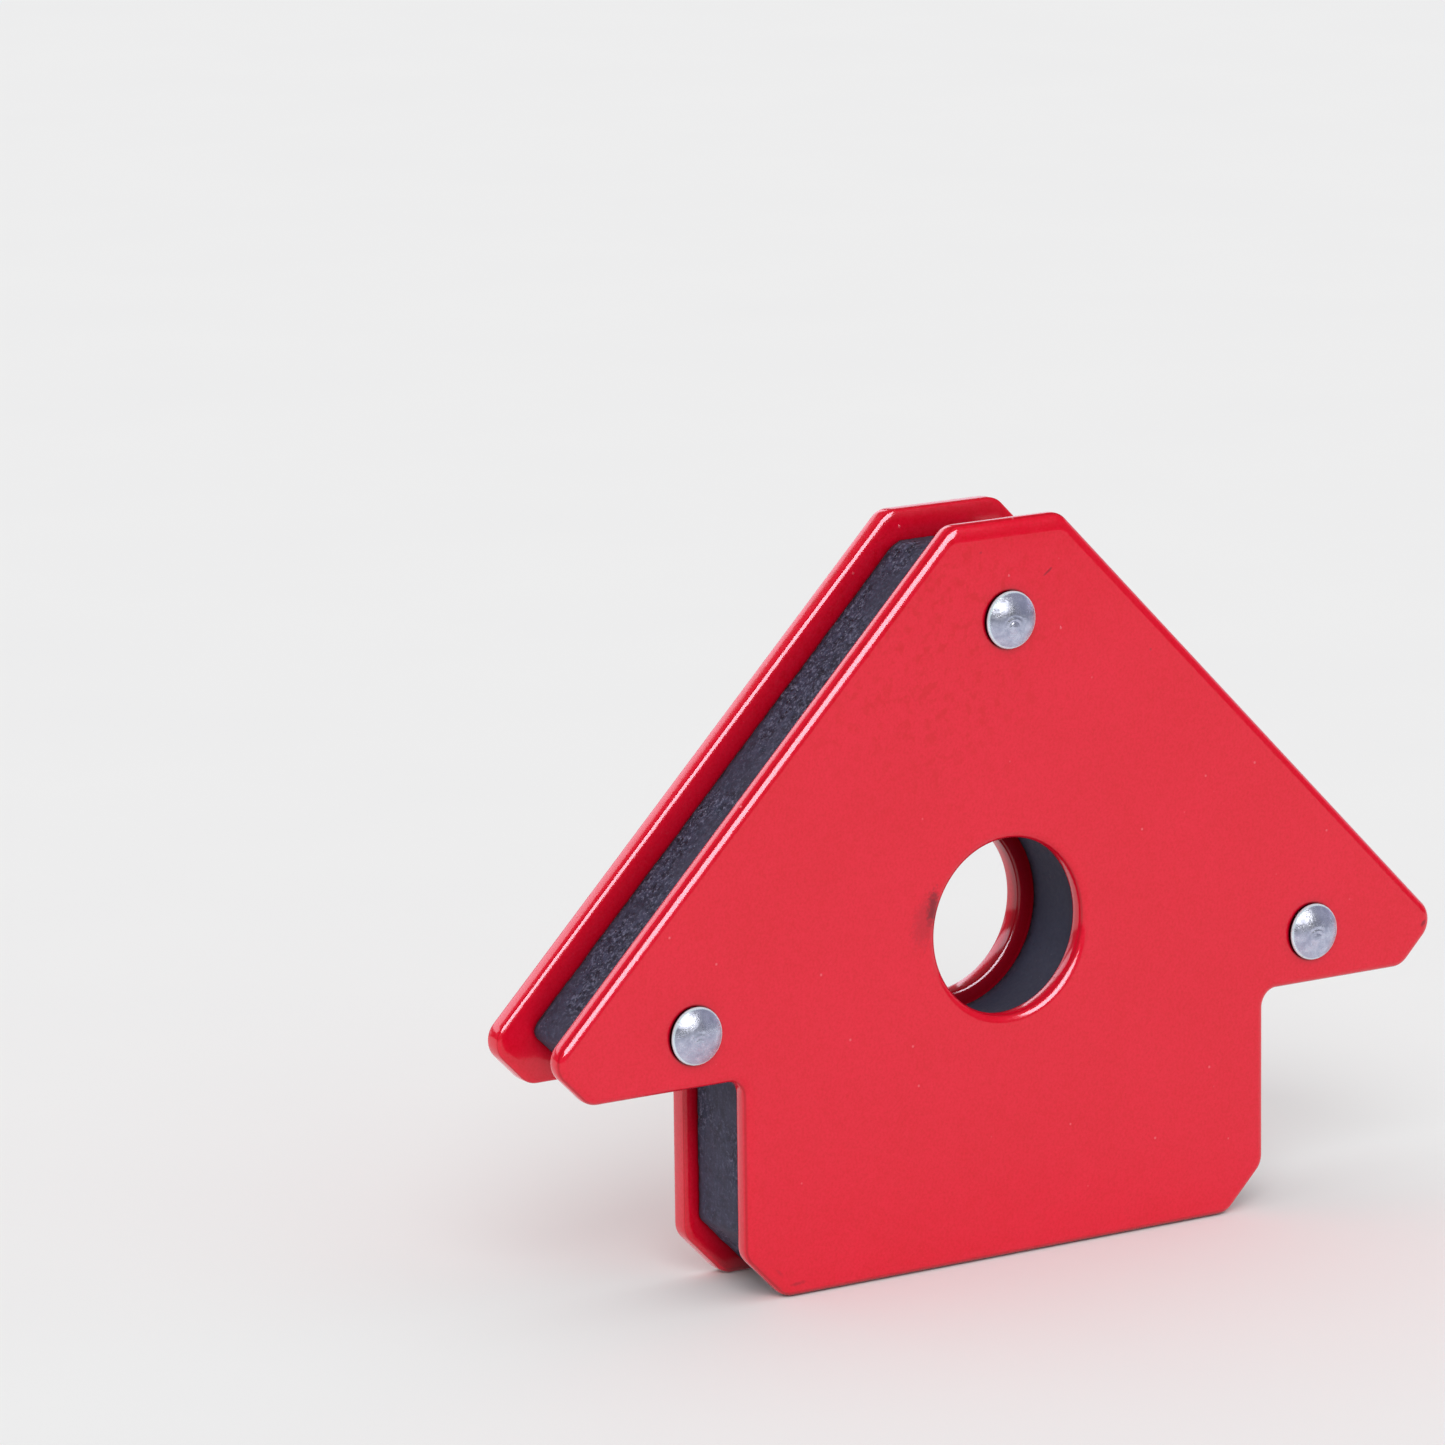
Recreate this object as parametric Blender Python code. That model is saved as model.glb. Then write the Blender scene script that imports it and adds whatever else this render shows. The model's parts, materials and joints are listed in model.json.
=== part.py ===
"""Magnetic welding holder: a broad arrow of two steel pole plates riveted over a magnet core.

The holder stands on its base. +X runs along its width, +Y through its thickness towards
the rear plate, and +Z up to the arrow's blunt point. The origin is the middle of the base.
Every constant is in millimetres, and MM turns it into Blender's metres.
"""
import math

import bmesh
import bpy
from mathutils import Vector

MM = 0.001
CLEARANCE = 0.3

# Arrow outline of a pole plate, given by its straight edges before the corners are rounded.
PLATE_HEIGHT = 84.0
STEM_HALF_WIDTH = 35.6
BASE_CHAMFER = 5.2
WING_UNDERSIDE = 25.5
TIP_HALF_WIDTH = 60.8
TIP_CHAMFER = 5.1
CORNER_RADIUS = 2.7
INSIDE_RADIUS = 2.0

# The stack through the thickness: plate, filler and magnets, plate.
PLATE_THICKNESS = 2.4
PLATE_SPACING = 10.0
CORE_THICKNESS = PLATE_SPACING - 2 * CLEARANCE
PLATE_CENTRE_Y = (PLATE_SPACING + PLATE_THICKNESS) / 2

# Pressed edge of a plate: a shallow roll, wider across the face than it is deep.
EDGE_ROLL_WIDTH = 1.1
EDGE_ROLL_DEPTH = 0.7
EDGE_ROLL_STEPS = 3

# Large round hole through the middle, wider in the filler than in the plates.
HOLE_HEIGHT = 37.9
PLATE_HOLE_RADIUS = 10.0
CORE_BORE_RADIUS = 11.7

# How far the filler stays inside each kind of plate edge.
CORE_INSET = {"base": 1.4, "chamfer": 2.4, "stem": 1.4, "underside": 1.2, "tip": 4.2, "slope": 2.7, "top": 3.3}
PLATE_INSET = {edge: 0.0 for edge in CORE_INSET}
CORE_CORNER_RADIUS = 1.2
CORE_EDGE_CHAMFER = 0.4

# Rivets, as (x, z) of their axes, with the sleeves that keep the plates apart.
RIVETS = {"top": (0.0, 72.8), "left": (-42.25, 31.6), "right": (42.25, 31.6)}
SHANK_RADIUS = 2.0
RIVET_HOLE_RADIUS = SHANK_RADIUS + CLEARANCE
HEAD_RADIUS = 3.25
HEAD_RIM = 0.3
HEAD_CROWN = 1.3
HEAD_DOME_STEPS = 4
UPSET_HEAD_RADIUS = 3.4
UPSET_FLAT_RADIUS = 2.0
SLEEVE_RADIUS = 3.2

# Ferrite blocks, as (width, height) and their centres. All are as thick as the filler.
BLOCK = (25.0, 19.0)
CROWN_BLOCK = (25.0, 13.0)
BASE_BLOCK_CENTRE = (15.0, 13.9)
FLANK_BLOCK_CENTRE = (24.3, 38.7)
CROWN_BLOCK_CENTRE = (0.0, 59.0)
BLOCK_EDGE_CHAMFER = 0.5
POCKET_CORNER_RADIUS = 0.8

# Arc resolution, in steps for a quarter turn, and steps round each kind of hole.
CORNER_STEPS = 8
POCKET_CORNER_STEPS = 2
HOLE_STEPS = 48
RIVET_STEPS = 24

MATERIALS = {
    "red_powder_coat": {"colour": (0.72, 0.03, 0.06), "metallic": 0.0, "roughness": 0.35},
    "slate_filler": {"colour": (0.065, 0.06, 0.085), "metallic": 0.0, "roughness": 0.75},
    "ferrite": {"colour": (0.045, 0.043, 0.045), "metallic": 0.0, "roughness": 0.6},
    "rivet_aluminium": {"colour": (0.66, 0.69, 0.76), "metallic": 1.0, "roughness": 0.38},
    "sleeve_aluminium": {"colour": (0.62, 0.63, 0.65), "metallic": 1.0, "roughness": 0.45},
}


def clear_scene():
    for old in list(bpy.data.objects):
        bpy.data.objects.remove(old, do_unlink=True)


def make_materials():
    made = {}
    for name, look in MATERIALS.items():
        material = bpy.data.materials.new(name)
        material.use_nodes = True
        shader = material.node_tree.nodes["Principled BSDF"]
        shader.inputs["Base Color"].default_value = (*look["colour"], 1.0)
        shader.inputs["Metallic"].default_value = look["metallic"]
        shader.inputs["Roughness"].default_value = look["roughness"]
        made[name] = material
    return made


def arrow_corners(inset, radius):
    """Sharp corners of the arrow, anticlockwise from the base's right end, each with its radius."""
    diagonal = math.sqrt(2)
    tip_height = WING_UNDERSIDE + TIP_CHAMFER
    base = inset["base"]
    chamfer = STEM_HALF_WIDTH - BASE_CHAMFER - diagonal * inset["chamfer"]
    stem = STEM_HALF_WIDTH - inset["stem"]
    underside = WING_UNDERSIDE + inset["underside"]
    tip = TIP_HALF_WIDTH - tip_height - diagonal * inset["tip"]
    slope = TIP_HALF_WIDTH + tip_height - diagonal * inset["slope"]
    top = PLATE_HEIGHT - inset["top"]
    right = [
        (chamfer + base, base, radius),
        (stem, stem - chamfer, radius),
        (stem, underside, INSIDE_RADIUS),
        (tip + underside, underside, radius),
        ((slope + tip) / 2, (slope - tip) / 2, radius),
        (slope - top, top, radius),
    ]
    left = [(-x, z, r) for x, z, r in reversed(right)]
    return right + left


def rectangle_corners(width, height, radius):
    x = width / 2
    z = height / 2
    return [(x, -z, radius), (x, z, radius), (-x, z, radius), (-x, -z, radius)]


def rounded_loop(corners, inset, quarter_steps):
    """Closed outline with an arc at each corner, moved inwards by inset."""
    points = []
    for index, (x, z, radius) in enumerate(corners):
        corner = Vector((x, z))
        before = corner - Vector(corners[index - 1][:2])
        after = Vector(corners[(index + 1) % len(corners)][:2]) - corner
        turn = math.atan2(before.x * after.y - before.y * after.x, before.dot(after))
        side = math.copysign(1.0, turn)
        normal_in = Vector((-before.y, before.x)).normalized()
        normal_out = Vector((-after.y, after.x)).normalized()
        centre = corner + (normal_in + normal_out) * side * radius / (1 + normal_in.dot(normal_out))
        first_angle = math.atan2(normal_in.y, normal_in.x)
        steps = max(1, round(quarter_steps * abs(turn) / (math.pi / 2)))
        for step in range(steps + 1):
            angle = first_angle + turn * step / steps
            outward = Vector((math.cos(angle), math.sin(angle))) * -side
            points.append(centre + outward * (radius - side * inset))
    return points


def circle_loop(centre, radius, steps):
    angles = [2 * math.pi * step / steps for step in range(steps)]
    return [Vector((centre[0] + radius * math.cos(a), centre[1] + radius * math.sin(a))) for a in angles]


def rolled_edge(thickness):
    """(inset, depth) pairs across a pressed edge: quarter ellipse, flat band, quarter ellipse."""
    front = []
    for step in range(EDGE_ROLL_STEPS + 1):
        angle = math.pi / 2 * step / EDGE_ROLL_STEPS
        front.append((EDGE_ROLL_WIDTH * (1 - math.sin(angle)), EDGE_ROLL_DEPTH * (1 - math.cos(angle))))
    return front + [(inset, thickness - depth) for inset, depth in reversed(front)]


def square_edge(thickness):
    return [(0.0, 0.0), (0.0, thickness)]


def chamfered_edge(thickness, chamfer):
    return [(chamfer, 0.0), (0.0, chamfer), (0.0, thickness - chamfer), (chamfer, thickness)]


def add_loop(bm, points, y):
    return [bm.verts.new((p.x * MM, y * MM, p.y * MM)) for p in points]


def bridge_loops(bm, loops):
    for near, far in zip(loops, loops[1:]):
        for index in range(len(near)):
            bm.faces.new((near[index - 1], near[index], far[index], far[index - 1]))


def loop_edges(bm, loop):
    return [bm.edges.get((loop[index - 1], loop[index])) for index in range(len(loop))]


def slab_mesh(name, thickness, walls):
    """Flat slab centred on y = 0. Each wall is a loop function and its (inset, depth) stations."""
    bm = bmesh.new()
    front_rim = []
    back_rim = []
    for loop_at, stations in walls:
        loops = [add_loop(bm, loop_at(inset), depth - thickness / 2) for inset, depth in stations]
        bridge_loops(bm, loops)
        front_rim += loop_edges(bm, loops[0])
        back_rim += loop_edges(bm, loops[-1])
    bmesh.ops.triangle_fill(bm, use_beauty=True, edges=front_rim)
    bmesh.ops.triangle_fill(bm, use_beauty=True, edges=back_rim)
    return finish_mesh(bm, name)


def turned_mesh(name, profile, closed):
    """Piece turned about the Y axis from (radius, y) pairs; an open profile starts and ends on the axis."""
    bm = bmesh.new()
    ring_points = profile if closed else profile[1:-1]
    loops = [add_loop(bm, circle_loop((0, 0), radius, RIVET_STEPS), y) for radius, y in ring_points]
    if closed:
        loops.append(loops[0])
    bridge_loops(bm, loops)
    if not closed:
        for pole_y, loop in ((profile[0][1], loops[0]), (profile[-1][1], loops[-1])):
            pole = bm.verts.new((0, pole_y * MM, 0))
            for index in range(len(loop)):
                bm.faces.new((loop[index - 1], loop[index], pole))
    return finish_mesh(bm, name)


def finish_mesh(bm, name):
    bmesh.ops.recalc_face_normals(bm, faces=bm.faces)
    mesh = bpy.data.meshes.new(name)
    bm.to_mesh(mesh)
    bm.free()
    mesh.shade_smooth()
    mesh.set_sharp_from_angle(angle=math.radians(40))
    return mesh


def pole_plate_mesh():
    corners = arrow_corners(PLATE_INSET, CORNER_RADIUS)
    walls = [(lambda inset: rounded_loop(corners, inset, CORNER_STEPS), rolled_edge(PLATE_THICKNESS))]
    hole = (0.0, HOLE_HEIGHT)
    walls.append((lambda inset: circle_loop(hole, PLATE_HOLE_RADIUS + inset, HOLE_STEPS), rolled_edge(PLATE_THICKNESS)))
    for axis in RIVETS.values():
        walls.append((lambda inset, axis=axis: circle_loop(axis, RIVET_HOLE_RADIUS, RIVET_STEPS),
                      square_edge(PLATE_THICKNESS)))
    return slab_mesh("pole_plate", PLATE_THICKNESS, walls)


def pocket_loop(centre, size):
    corners = rectangle_corners(size[0] + 2 * CLEARANCE, size[1] + 2 * CLEARANCE, POCKET_CORNER_RADIUS)
    placed = [(x + centre[0], z + centre[1], radius) for x, z, radius in corners]
    return rounded_loop(placed, 0.0, POCKET_CORNER_STEPS)


def core_filler_mesh():
    corners = arrow_corners(CORE_INSET, CORE_CORNER_RADIUS)
    outer_edge = chamfered_edge(CORE_THICKNESS, CORE_EDGE_CHAMFER)
    walls = [(lambda inset: rounded_loop(corners, inset, CORNER_STEPS), outer_edge)]
    bore = circle_loop((0.0, HOLE_HEIGHT), CORE_BORE_RADIUS, HOLE_STEPS)
    inner_loops = [bore]
    for axis in RIVETS.values():
        inner_loops.append(circle_loop(axis, SLEEVE_RADIUS + CLEARANCE, RIVET_STEPS))
    for centre, size in magnet_layout().values():
        inner_loops.append(pocket_loop(centre, size))
    for loop in inner_loops:
        walls.append((lambda inset, loop=loop: loop, square_edge(CORE_THICKNESS)))
    return slab_mesh("core_filler", CORE_THICKNESS, walls)


def magnet_layout():
    """Centre and (width, height) of each ferrite block; the flank blocks stand on end."""
    layout = {}
    for side, sign in (("left", -1), ("right", 1)):
        layout["magnet_base_" + side] = ((sign * BASE_BLOCK_CENTRE[0], BASE_BLOCK_CENTRE[1]), BLOCK)
        layout["magnet_flank_" + side] = ((sign * FLANK_BLOCK_CENTRE[0], FLANK_BLOCK_CENTRE[1]), BLOCK[::-1])
    layout["magnet_crown"] = (CROWN_BLOCK_CENTRE, CROWN_BLOCK)
    return layout


def ferrite_block_mesh(size):
    bm = bmesh.new()
    bmesh.ops.create_cube(bm, size=MM)
    bmesh.ops.scale(bm, verts=bm.verts, vec=(size[0], CORE_THICKNESS, size[1]))
    bmesh.ops.bevel(bm, geom=bm.edges[:], offset=BLOCK_EDGE_CHAMFER * MM, segments=1, affect="EDGES")
    return finish_mesh(bm, "ferrite_block")


def dome_profile(radius, flat_radius):
    """(radius, height) pairs of a head's crown, from its middle down to the rim."""
    points = []
    for step in range(1, HEAD_DOME_STEPS + 1):
        reach = flat_radius + (radius - flat_radius) * step / HEAD_DOME_STEPS
        fall = ((reach - flat_radius) / (radius - flat_radius)) ** 2
        points.append((reach, HEAD_CROWN - (HEAD_CROWN - HEAD_RIM) * fall))
    if flat_radius > 0:
        points.insert(0, (flat_radius, HEAD_CROWN))
    return points


def rivet_mesh():
    """Solid rivet with a domed head in front and an upset, flat-topped head behind."""
    seat = PLATE_SPACING / 2 + PLATE_THICKNESS + CLEARANCE
    profile = [(0.0, -seat - HEAD_CROWN)]
    profile += [(reach, -seat - height) for reach, height in dome_profile(HEAD_RADIUS, 0.0)]
    profile += [(HEAD_RADIUS, -seat), (SHANK_RADIUS, -seat), (SHANK_RADIUS, seat), (UPSET_HEAD_RADIUS, seat)]
    upset = [(reach, seat + height) for reach, height in dome_profile(UPSET_HEAD_RADIUS, UPSET_FLAT_RADIUS)]
    profile += reversed(upset)
    profile.append((0.0, seat + HEAD_CROWN))
    return turned_mesh("rivet", profile, closed=False)


def sleeve_mesh():
    half = CORE_THICKNESS / 2
    inner = RIVET_HOLE_RADIUS
    profile = [(SLEEVE_RADIUS, -half), (SLEEVE_RADIUS, half), (inner, half), (inner, -half)]
    return turned_mesh("sleeve", profile, closed=True)


def place(name, mesh, material, location, parent):
    piece = bpy.data.objects.new(name, mesh)
    if not mesh.materials:
        mesh.materials.append(material)
    piece.location = [value * MM for value in location]
    piece.parent = parent
    bpy.context.scene.collection.objects.link(piece)
    return piece


def build_holder():
    materials = make_materials()
    holder = bpy.data.objects.new("welding_magnet_holder", None)
    bpy.context.scene.collection.objects.link(holder)

    plate = pole_plate_mesh()
    place("front_plate", plate, materials["red_powder_coat"], (0, -PLATE_CENTRE_Y, 0), holder)
    place("rear_plate", plate, materials["red_powder_coat"], (0, PLATE_CENTRE_Y, 0), holder)
    place("core_filler", core_filler_mesh(), materials["slate_filler"], (0, 0, 0), holder)

    for name, (centre, size) in magnet_layout().items():
        place(name, ferrite_block_mesh(size), materials["ferrite"], (centre[0], 0, centre[1]), holder)

    rivet = rivet_mesh()
    sleeve = sleeve_mesh()
    for side, (x, z) in RIVETS.items():
        place("rivet_" + side, rivet, materials["rivet_aluminium"], (x, 0, z), holder)
        place("spacer_" + side, sleeve, materials["sleeve_aluminium"], (x, 0, z), holder)


clear_scene()
build_holder()
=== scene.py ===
"""Finish of the magnetic welding holder: painted pole plates, cast core and riveted heads in a studio.

Positions are in the CAD frame: +X along the width, +Y through the thickness, +Z up, with the
origin under the middle of the base. Lengths are in millimetres, and MM turns them into metres.
"""

import json
import math

import bmesh
import bpy
from mathutils import Matrix, Vector, noise

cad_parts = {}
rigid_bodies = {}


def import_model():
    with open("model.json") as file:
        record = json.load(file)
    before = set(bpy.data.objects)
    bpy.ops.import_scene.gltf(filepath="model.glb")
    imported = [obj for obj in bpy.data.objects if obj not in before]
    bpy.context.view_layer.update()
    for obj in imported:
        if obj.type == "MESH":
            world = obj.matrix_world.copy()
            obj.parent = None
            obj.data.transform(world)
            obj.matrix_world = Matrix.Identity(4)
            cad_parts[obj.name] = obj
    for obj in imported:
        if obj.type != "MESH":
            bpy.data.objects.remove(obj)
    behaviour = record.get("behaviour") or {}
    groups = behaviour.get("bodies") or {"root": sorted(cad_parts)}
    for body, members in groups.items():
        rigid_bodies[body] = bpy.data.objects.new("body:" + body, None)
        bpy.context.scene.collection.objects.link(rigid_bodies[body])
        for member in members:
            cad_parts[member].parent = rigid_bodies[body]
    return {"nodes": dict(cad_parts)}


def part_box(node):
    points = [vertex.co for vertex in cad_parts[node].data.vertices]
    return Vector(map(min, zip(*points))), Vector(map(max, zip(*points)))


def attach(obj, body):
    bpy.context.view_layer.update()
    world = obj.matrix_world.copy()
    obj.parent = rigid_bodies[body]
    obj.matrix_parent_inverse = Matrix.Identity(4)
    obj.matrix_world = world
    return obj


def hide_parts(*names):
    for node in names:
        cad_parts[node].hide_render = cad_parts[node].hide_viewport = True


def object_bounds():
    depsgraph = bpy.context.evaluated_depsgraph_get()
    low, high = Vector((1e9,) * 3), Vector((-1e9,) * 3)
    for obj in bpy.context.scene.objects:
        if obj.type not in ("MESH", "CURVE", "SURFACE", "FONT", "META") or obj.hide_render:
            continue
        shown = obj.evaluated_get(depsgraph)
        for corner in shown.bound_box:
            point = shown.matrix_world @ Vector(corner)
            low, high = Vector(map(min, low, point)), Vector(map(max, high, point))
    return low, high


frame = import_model()
cad_low, cad_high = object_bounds()

MM = 0.001

# Gap that the CAD leaves round the magnets and the spacers.
CLEARANCE = 0.3

# Plate outline, given by its straight edges before the corners are rounded.
PLATE_HEIGHT = 84.0
STEM_HALF_WIDTH = 35.6
BASE_CHAMFER = 5.2
WING_UNDERSIDE = 25.5
TIP_HALF_WIDTH = 60.8
TIP_CHAMFER = 5.1
CORNER_RADIUS = 2.7
INSIDE_RADIUS = 2.0
PLATE_SPACING = 10.0
PLATE_EDGES = ("base", "chamfer", "stem", "underside", "tip", "slope", "top")

# Stamped edge of a plate, from its front face to its rear one: a roll that reaches over the front face
# by a width of its own along each edge, and a wall that then curves in a little towards the rear face.
# The rear plate's rolls are flatter, and its hole's is narrower too.
ROLL_WIDTH = {
    "base": 0.9, "chamfer": 0.9, "stem": 1.1, "underside": 0.9, "tip": 1.0, "slope": 1.25, "top": 1.9,
}
HOLE_ROLL_WIDTH = 1.1
ROLL_SHARE = {"front_plate": 1.0, "rear_plate": 1.1}
ROLL_DEPTH = {"front_plate": 0.85, "rear_plate": 0.45}
HOLE_ROLL_SHARE = {"front_plate": 1.0, "rear_plate": 0.56}
HOLE_ROLL_DEPTH = {"front_plate": 0.85, "rear_plate": 0.36}
BACK_WIDTH = {"front_plate": 0.42, "rear_plate": 0.15}
BACK_DEPTH = 1.4
ROLL_STEPS = 12
BACK_STEPS = 10
FLAT_BORDER = 0.06

# Hole through the middle, wider in the filler than in the plates.
HOLE_HEIGHT = 37.9
PLATE_HOLE_RADIUS = 10.0
CORE_BORE_RADIUS = 11.7

# Filler: how far it stays inside each kind of plate edge, and its rough surface.
CORE_INSET = {
    "base": 1.4, "chamfer": 2.4, "stem": 1.4, "underside": 1.2, "tip": 4.2, "slope": 2.7, "top": 3.3,
}
CORE_CORNER_RADIUS = 1.2
CORE_EDGE_ROUNDING = 0.35
CORE_EDGE_STEPS = 3
CORE_SPACING = 0.5
CORE_BANDS = 14
BORE_BANDS = 6
BORE_EDGE_BREAK = 0.3
POCKET_CORNER_RADIUS = 0.8

# Unevenness of the cast wall: features per millimetre and depth of each kind, and how high the noise
# has to rise before there is a pit or a nick. Lumps are full in the rough zones and keep a least share of
# their depth outside them. Pits and nicks each read the noise from a start of their own.
ROUGH_ZONES = 0.11
SWELL = {"scale": 0.35, "depth": 0.05}
LUMPS = {"scale": 1.1, "depth": 0.06, "least": 0.3}
PITS = {"scale": 0.9, "depth": 0.9, "above": 0.48, "start": (31.0, 7.0, 3.0)}
NICKS = {"scale": 1.4, "depth": 0.5, "above": 0.2, "start": (5.0, 17.0, 11.0)}
# Share of the nicks that the wall's first and last bands get, next to its rounded edges.
BORDER_NICKS = 0.15

# Rivet heads.
RIVETS = ("top", "left", "right")
RIVET_HOLE_RADIUS = 2.3
SHANK_RADIUS = 2.0
HEAD_RADIUS = 3.25
HEAD_RIM = 0.6
HEAD_CROWN = 1.6
RIM_ROUNDING = 0.14
RIM_STEPS = 4
SEAT_GAP = 0.02
UNDERCUT_DEPTH = 0.3
UNDERCUT_REACH = 0.32
UPSET_HEAD_RADIUS = 3.4
UPSET_FLAT_RADIUS = 2.0
UPSET_CROWN = 1.2
UPSET_RIM_SLOPE = 36.0

# Ring marks that the rivet set leaves on a head: centre (x, z) from the axis, strength on each head, and
# the radius, width and depth of each ring.
SET_MARK_OFFSET = (-0.24, -0.76)
SET_MARK_STRENGTH = {"top": 1.0, "left": 0.45, "right": 0.9}
SET_MARK_RINGS = ((0.78, 0.17, 0.08), (1.25, 0.18, 0.05), (0.0, 0.3, -0.07))

# An area of faint darker blotches on the paint, which are weaker outside it, and wear marks on the front
# face, given by centre (x, z), half size, angle in degrees and strength. A mark's edge wanders and is soft,
# both
# as shares of its half size.
BLOTCH_CENTRE = (-10.0, 72.0)
BLOTCH_REACH = (22.0, 8.8)
BLOTCH_STRENGTH = (0.1, 0.55)
SCUFF_WANDER = (-0.35, 0.35)
SCUFF_EDGE = (1.3, 0.5)
SCUFFS = (
    ((5.4, 77.6), (0.62, 0.14), 35, 0.6),
    ((-29.05, 1.47), (0.9, 0.22), 5, 0.35),
    ((-31.45, 3.08), (0.5, 0.2), -45, 0.2),
    ((-10.5, 41.5), (0.7, 1.9), -10, 0.7),
    ((-11.5, 40.1), (1.6, 2.9), -15, 0.26),
    ((58.6, 30.3), (0.5, 0.22), 50, 0.6),
    ((-3.7, 80.7), (0.18, 0.14), 0, 0.35),
)

# Places where painted shade or a painted highlight starts, and where it is full. The painted shadow at the
# foot is by height above the floor, the painted shade at a rivet's seat by height above the plate, and the
# painted shade round a head and the painted highlight on its rim by distance from a rivet's axis.
# HOLE_SHADE, painted shade on the rear plate inside the hole, is by depth behind the middle plane, inside
# HOLE_SIDE, and fades again by HOLE_SHADE_FADE.
FOOT_SHADE = (0.7, 0.2)
SEAT_SHADE = (0.5, 0.36)
HEAD_SHADE = (HEAD_RADIUS + 0.25, HEAD_RADIUS - 0.05)
RIM_HIGHLIGHT = (HEAD_RADIUS - 0.26, HEAD_RADIUS - 0.12)
HOLE_SIDE = (CORE_BORE_RADIUS + 0.3, CORE_BORE_RADIUS)
HOLE_SHADE = (4.5, 5.0)
HOLE_SHADE_FADE = (6.5, 5.6)
SLOT_HALF_WIDTH = PLATE_SPACING / 2 + 0.1

# Bands of a rolled edge where the paint is darker, in degrees from the face: starts, is full, fades, ends.
# The darkening is painted shade, partly paint that is thin there. The shoulder's band is only on edges that
# face upwards, by the upward part of their direction.
SHOULDER_BAND = (1.1, 5.0, 14.0, 20.0)
STEEP_BAND = (40.0, 50.0, 60.0, 70.0)
FACING_UP = (0.0, 0.05)

# How open a spot's surroundings are when its painted shade starts, and when it's darkest, as a share, and
# how far away they count, in millimetres.
CREVICE = (0.75, 0.2)
CREVICE_RAYS = 6
SLOT_REACH = 5.0
PORE_REACH = 3.0

# The filler is smooth inside BORE_SIDE, and has painted shade beside the plates, beyond a border that
# wanders.
BORE_SIDE = (CORE_BORE_RADIUS + 1.0, CORE_BORE_RADIUS + 0.4)
SLATE_BORDER = (4.1, 4.6)
BORDER_WANDER = (-0.3, 0.5)
SMOOTH_ZONE_ROUGHNESS = 0.3
BORE_SMOOTHING = 0.9

# Spans of a noise texture. NOISE_SPAN holds nearly all that one gives.
NOISE_SPAN = (0.3, 0.7)
INNER_SPAN = (0.35, 0.65)
PALE_GRAIN_SPAN = (0.45, 0.7)
DARK_GRAIN_SPAN = (0.48, 0.3)
BLOTCH_SPAN = (0.52, 0.64)
ZONE_SPAN = (0.44, 0.56)
SLATE_GRAIN_SPAN = (0.5, 0.68)
FERRITE_GRAIN_SPAN = (0.35, 0.7)

# Shares of two noises that add up to one tone.
CLOUDS_AND_MOTTLE = (0.6, 0.4)
STAINS_AND_FROST = (0.65, 0.35)

# Half size of a mark that reaches right through a plate, in millimetres.
ANY_DEPTH = 1e6

# Noise textures, with their features per millimetre, and specks, which lie one to a cell in a share of the
# cells. A speck's size is in cells, and SPECK_CORE is the share of it that is full.
SPECK_CORE = 0.4
PAINT_NOISE = {
    "clouds": {"scale": 0.09, "detail": 4.0, "roughness": 0.6},
    "mottle": {"scale": 1.3, "detail": 3.0},
    "grain": {"scale": 3.0, "detail": 3.0, "roughness": 0.7},
    "blotches": {"scale": 0.85, "detail": 3.0, "roughness": 0.6},
    "ragged": {"scale": 2.2, "detail": 3.0, "roughness": 0.7},
    "peel": {"scale": 0.8},
    "fine_peel": {"scale": 3.5},
    "gloss": {"scale": 0.5, "detail": 4.0},
}
PAINT_NIBS = {"scale": 0.3, "size": 0.06, "share": 0.6}
PAINT_DUST = {"scale": 0.21, "size": 0.04, "share": 0.12}
SLATE_NOISE = {
    "zones": {"scale": 0.13},
    "grain": {"scale": 2.2, "detail": 5.0, "roughness": 0.75},
    "coarse": {"scale": 0.9, "detail": 4.0, "roughness": 0.65},
}
SLATE_GRIT = {"scale": 1.7, "size": 0.2, "share": 0.4}
SLATE_PITS = {"scale": 1.0, "size": 0.22, "share": 0.5}
FERRITE_NOISE = {
    "grain": {"scale": 2.4, "detail": 5.0, "roughness": 0.65},
    "sheen": {"scale": 0.3, "detail": 3.0},
}
METAL_NOISE = {
    "stains": {"scale": 1.1, "detail": 4.0, "roughness": 0.6},
    "frost": {"scale": 7.0, "detail": 3.0, "roughness": 0.6},
}
METAL_DENTS = {"scale": 1.4, "size": 0.14, "share": 0.4}
FLOOR_NOISE = {"scale": 0.02, "detail": 3.0}

# Height of each kind of relief in millimetres, and the least and most roughness of each surface.
# STAINS_ROUGHNESS is added to a metal's own roughness, and SLATE_GLOSS is the filler's specular level.
PAINT_RELIEF = {"peel": 0.006, "fine_peel": 0.001, "nibs": 0.03}
SLATE_RELIEF = {"coarse": 0.15, "grain": 0.14, "grit": 0.1}
FERRITE_RELIEF = 0.03
METAL_RELIEF = {"stains": 0.05, "dents": 0.03}
PAINT_ROUGHNESS = (0.11, 0.16)
SLATE_ROUGHNESS = (0.5, 0.75)
SLATE_GLOSS = 0.3
FERRITE_ROUGHNESS = (0.42, 0.62)
STAINS_ROUGHNESS = (-0.05, 0.08)
FLOOR_ROUGHNESS = 0.9

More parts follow.
